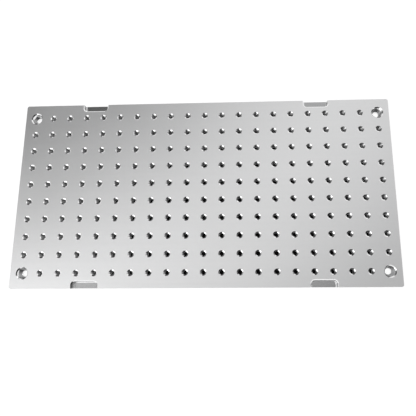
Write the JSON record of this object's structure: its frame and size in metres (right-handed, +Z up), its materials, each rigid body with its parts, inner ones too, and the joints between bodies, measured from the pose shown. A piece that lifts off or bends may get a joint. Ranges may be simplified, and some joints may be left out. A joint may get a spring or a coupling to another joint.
{
  "type": "machining pallet",
  "caption": "Flat aluminium workholding plate with a square grid of tapped holes, counterbored corner holes and clamp notches in its long sides.",
  "frame": {"origin": "middle of the underside", "axes": "+X along the long side, +Y across the plate, +Z up out of the work face"},
  "size_m": [0.542, 0.2706, 0.0127],
  "materials": {
    "machined_aluminium": "bare, finely milled, satin"
  },
  "bodies": {
    "root": {"pallet_plate": "machined_aluminium"}
  },
  "joints": []
}
